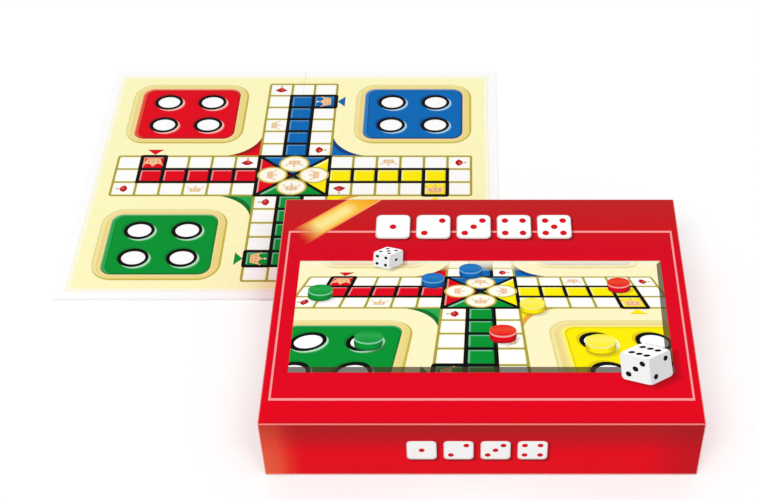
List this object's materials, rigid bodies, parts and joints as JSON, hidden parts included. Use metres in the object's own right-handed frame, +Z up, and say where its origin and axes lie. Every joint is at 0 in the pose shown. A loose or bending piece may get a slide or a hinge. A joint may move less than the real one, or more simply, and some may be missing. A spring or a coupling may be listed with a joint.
{
  "type": "ludo board game set with box",
  "caption": "Ludo set: lift-off lid box holding counters, dice, leaflet and card insert, standing on the edge of its fold-in-half board.",
  "frame": {"origin": "under the middle of the whole set, on the surface that it stands on", "axes": "+Z up, +X to the right along the box's front, +Y towards the back, where the open board lies"},
  "size_m": [0.4014, 0.381, 0.0504],
  "materials": {
    "greyboard": "matte",
    "lid_litho_paper": "gloss",
    "tray_paper": "matte",
    "kraft_tape": "matte",
    "white_card": "matte",
    "leaflet_paper": "matte",
    "board_litho_paper": "gloss",
    "liner_paper": "satin",
    "hinge_cloth": "matte",
    "die_plastic": "gloss",
    "red_counter_plastic": "gloss",
    "blue_counter_plastic": "gloss",
    "green_counter_plastic": "gloss",
    "yellow_counter_plastic": "gloss"
  },
  "bodies": {
    "tray": {"tray_board": "greyboard", "tray_wrap": "tray_paper", "tray_corner_stays": "kraft_tape"},
    "lid": {"lid_board": "greyboard", "lid_wrap": "lid_litho_paper", "lid_corner_stays": "kraft_tape"},
    "insert": {"card_insert": "white_card"},
    "leaflet": {"rules_leaflet": "leaflet_paper"},
    "red_counter_1": {"red_counter_1": "red_counter_plastic"},
    "red_counter_2": {"red_counter_2": "red_counter_plastic"},
    "red_counter_3": {"red_counter_3": "red_counter_plastic"},
    "red_counter_4": {"red_counter_4": "red_counter_plastic"},
    "blue_counter_1": {"blue_counter_1": "blue_counter_plastic"},
    "blue_counter_2": {"blue_counter_2": "blue_counter_plastic"},
    "blue_counter_3": {"blue_counter_3": "blue_counter_plastic"},
    "blue_counter_4": {"blue_counter_4": "blue_counter_plastic"},
    "green_counter_1": {"green_counter_1": "green_counter_plastic"},
    "green_counter_2": {"green_counter_2": "green_counter_plastic"},
    "green_counter_3": {"green_counter_3": "green_counter_plastic"},
    "green_counter_4": {"green_counter_4": "green_counter_plastic"},
    "yellow_counter_1": {"yellow_counter_1": "yellow_counter_plastic"},
    "yellow_counter_2": {"yellow_counter_2": "yellow_counter_plastic"},
    "yellow_counter_3": {"yellow_counter_3": "yellow_counter_plastic"},
    "yellow_counter_4": {"yellow_counter_4": "yellow_counter_plastic"},
    "pip_die": {"pip_die": "die_plastic"},
    "crown_die": {"crown_die": "die_plastic"},
    "board_right": {"board_core_right": "greyboard", "board_print_right": "board_litho_paper", "board_liner_right": "liner_paper", "hinge_tape_right": "hinge_cloth"},
    "board_left": {"board_core_left": "greyboard", "board_print_left": "board_litho_paper", "board_liner_left": "liner_paper", "hinge_tape_left": "hinge_cloth"}
  },
  "joints": [
    {"name": "lid_lift", "type": "slide", "parent": "tray", "child": "lid", "axis": [0, -0.0134, 0.9999], "range_m": [0, 0.13]},
    {"name": "insert_lift", "type": "slide", "parent": "tray", "child": "insert", "axis": [0, -0.0134, 0.9999], "range_m": [0, 0.02]},
    {"name": "leaflet_lift", "type": "slide", "parent": "tray", "child": "leaflet", "axis": [0, -0.0134, 0.9999], "range_m": [0, 0.0785]},
    {"name": "red_counter_1_lift", "type": "slide", "parent": "tray", "child": "red_counter_1", "axis": [0, -0.0134, 0.9999], "range_m": [0, 0.0525]},
    {"name": "red_counter_2_lift", "type": "slide", "parent": "tray", "child": "red_counter_2", "axis": [0, -0.0134, 0.9999], "range_m": [0, 0.0525]},
    {"name": "red_counter_3_lift", "type": "slide", "parent": "tray", "child": "red_counter_3", "axis": [0, -0.0134, 0.9999], "range_m": [0, 0.0525]},
    {"name": "red_counter_4_lift", "type": "slide", "parent": "tray", "child": "red_counter_4", "axis": [0, -0.0134, 0.9999], "range_m": [0, 0.0525]},
    {"name": "blue_counter_1_lift", "type": "slide", "parent": "tray", "child": "blue_counter_1", "axis": [0, -0.0134, 0.9999], "range_m": [0, 0.0525]},
    {"name": "blue_counter_2_lift", "type": "slide", "parent": "tray", "child": "blue_counter_2", "axis": [0, -0.0134, 0.9999], "range_m": [0, 0.0525]},
    {"name": "blue_counter_3_lift", "type": "slide", "parent": "tray", "child": "blue_counter_3", "axis": [0, -0.0134, 0.9999], "range_m": [0, 0.0525]},
    {"name": "blue_counter_4_lift", "type": "slide", "parent": "tray", "child": "blue_counter_4", "axis": [0, -0.0134, 0.9999], "range_m": [0, 0.0525]},
    {"name": "green_counter_1_lift", "type": "slide", "parent": "tray", "child": "green_counter_1", "axis": [0, -0.0134, 0.9999], "range_m": [0, 0.0525]},
    {"name": "green_counter_2_lift", "type": "slide", "parent": "tray", "child": "green_counter_2", "axis": [0, -0.0134, 0.9999], "range_m": [0, 0.0525]},
    {"name": "green_counter_3_lift", "type": "slide", "parent": "tray", "child": "green_counter_3", "axis": [0, -0.0134, 0.9999], "range_m": [0, 0.0525]},
    {"name": "green_counter_4_lift", "type": "slide", "parent": "tray", "child": "green_counter_4", "axis": [0, -0.0134, 0.9999], "range_m": [0, 0.0525]},
    {"name": "yellow_counter_1_lift", "type": "slide", "parent": "tray", "child": "yellow_counter_1", "axis": [0, -0.0134, 0.9999], "range_m": [0, 0.0525]},
    {"name": "yellow_counter_2_lift", "type": "slide", "parent": "tray", "child": "yellow_counter_2", "axis": [0, -0.0134, 0.9999], "range_m": [0, 0.0525]},
    {"name": "yellow_counter_3_lift", "type": "slide", "parent": "tray", "child": "yellow_counter_3", "axis": [0, -0.0134, 0.9999], "range_m": [0, 0.0525]},
    {"name": "yellow_counter_4_lift", "type": "slide", "parent": "tray", "child": "yellow_counter_4", "axis": [0, -0.0134, 0.9999], "range_m": [0, 0.0525]},
    {"name": "pip_die_lift", "type": "slide", "parent": "tray", "child": "pip_die", "axis": [0, -0.0134, 0.9999], "range_m": [0, 0.0525]},
    {"name": "crown_die_lift", "type": "slide", "parent": "tray", "child": "crown_die", "axis": [0, -0.0134, 0.9999], "range_m": [0, 0.0525]},
    {"name": "board_slide", "type": "slide", "parent": "tray", "child": "board_right", "axis": [0, 1, 0], "range_m": [0, 0.1502]},
    {"name": "board_fold", "type": "hinge", "parent": "board_right", "child": "board_left", "pos_m": [-0.05565, 0.07047, 0.00185], "axis": [0, 1, 0], "range_deg": [0, 180]}
  ],
  "couplings": [
    {"joint": "insert_lift", "follows": "lid_lift", "ratio": 0.15},
    {"joint": "leaflet_lift", "follows": "lid_lift", "ratio": 0.6},
    {"joint": "red_counter_1_lift", "follows": "lid_lift", "ratio": 0.4},
    {"joint": "red_counter_2_lift", "follows": "lid_lift", "ratio": 0.4},
    {"joint": "red_counter_3_lift", "follows": "lid_lift", "ratio": 0.4},
    {"joint": "red_counter_4_lift", "follows": "lid_lift", "ratio": 0.4},
    {"joint": "blue_counter_1_lift", "follows": "lid_lift", "ratio": 0.4},
    {"joint": "blue_counter_2_lift", "follows": "lid_lift", "ratio": 0.4},
    {"joint": "blue_counter_3_lift", "follows": "lid_lift", "ratio": 0.4},
    {"joint": "blue_counter_4_lift", "follows": "lid_lift", "ratio": 0.4},
    {"joint": "green_counter_1_lift", "follows": "lid_lift", "ratio": 0.4},
    {"joint": "green_counter_2_lift", "follows": "lid_lift", "ratio": 0.4},
    {"joint": "green_counter_3_lift", "follows": "lid_lift", "ratio": 0.4},
    {"joint": "green_counter_4_lift", "follows": "lid_lift", "ratio": 0.4},
    {"joint": "yellow_counter_1_lift", "follows": "lid_lift", "ratio": 0.4},
    {"joint": "yellow_counter_2_lift", "follows": "lid_lift", "ratio": 0.4},
    {"joint": "yellow_counter_3_lift", "follows": "lid_lift", "ratio": 0.4},
    {"joint": "yellow_counter_4_lift", "follows": "lid_lift", "ratio": 0.4},
    {"joint": "pip_die_lift", "follows": "lid_lift", "ratio": 0.4},
    {"joint": "crown_die_lift", "follows": "lid_lift", "ratio": 0.4},
    {"joint": "board_slide", "follows": "board_fold", "m_per_rad": 0.047746}
  ]
}
